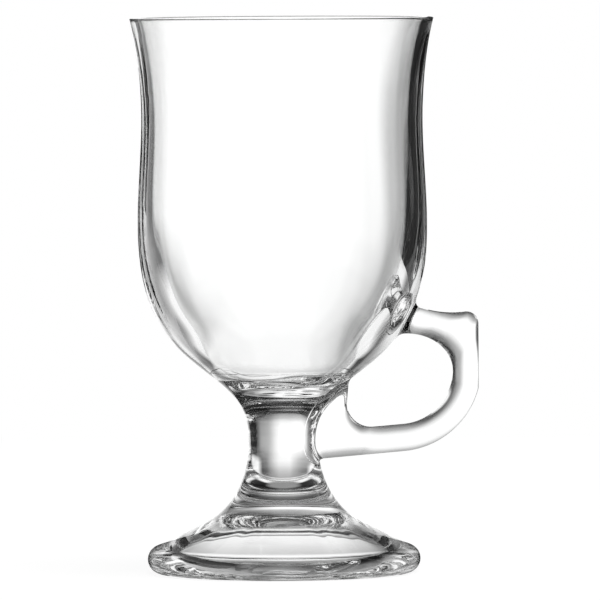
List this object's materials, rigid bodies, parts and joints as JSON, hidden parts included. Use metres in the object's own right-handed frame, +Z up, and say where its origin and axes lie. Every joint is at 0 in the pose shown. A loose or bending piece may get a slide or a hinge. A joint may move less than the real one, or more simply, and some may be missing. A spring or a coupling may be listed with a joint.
{
  "type": "irish coffee mug",
  "caption": "Footed clear glass mug with a tulip bowl, flared rounded rim, waisted solid stem, flared foot and flat-sided loop handle with a thumb rest, for hot coffee drinks.",
  "frame": {"origin": "on the mug's axis, in the plane of the bearing ring that it stands on", "axes": "+Z up along the axis of the bowl, +X towards the handle"},
  "size_m": [0.0869, 0.076, 0.1391],
  "materials": {
    "clear_glass": "clear pressed glass, fire polished"
  },
  "bodies": {
    "root": {"bowl": "clear_glass", "stem": "clear_glass", "foot": "clear_glass", "handle": "clear_glass"}
  },
  "joints": []
}
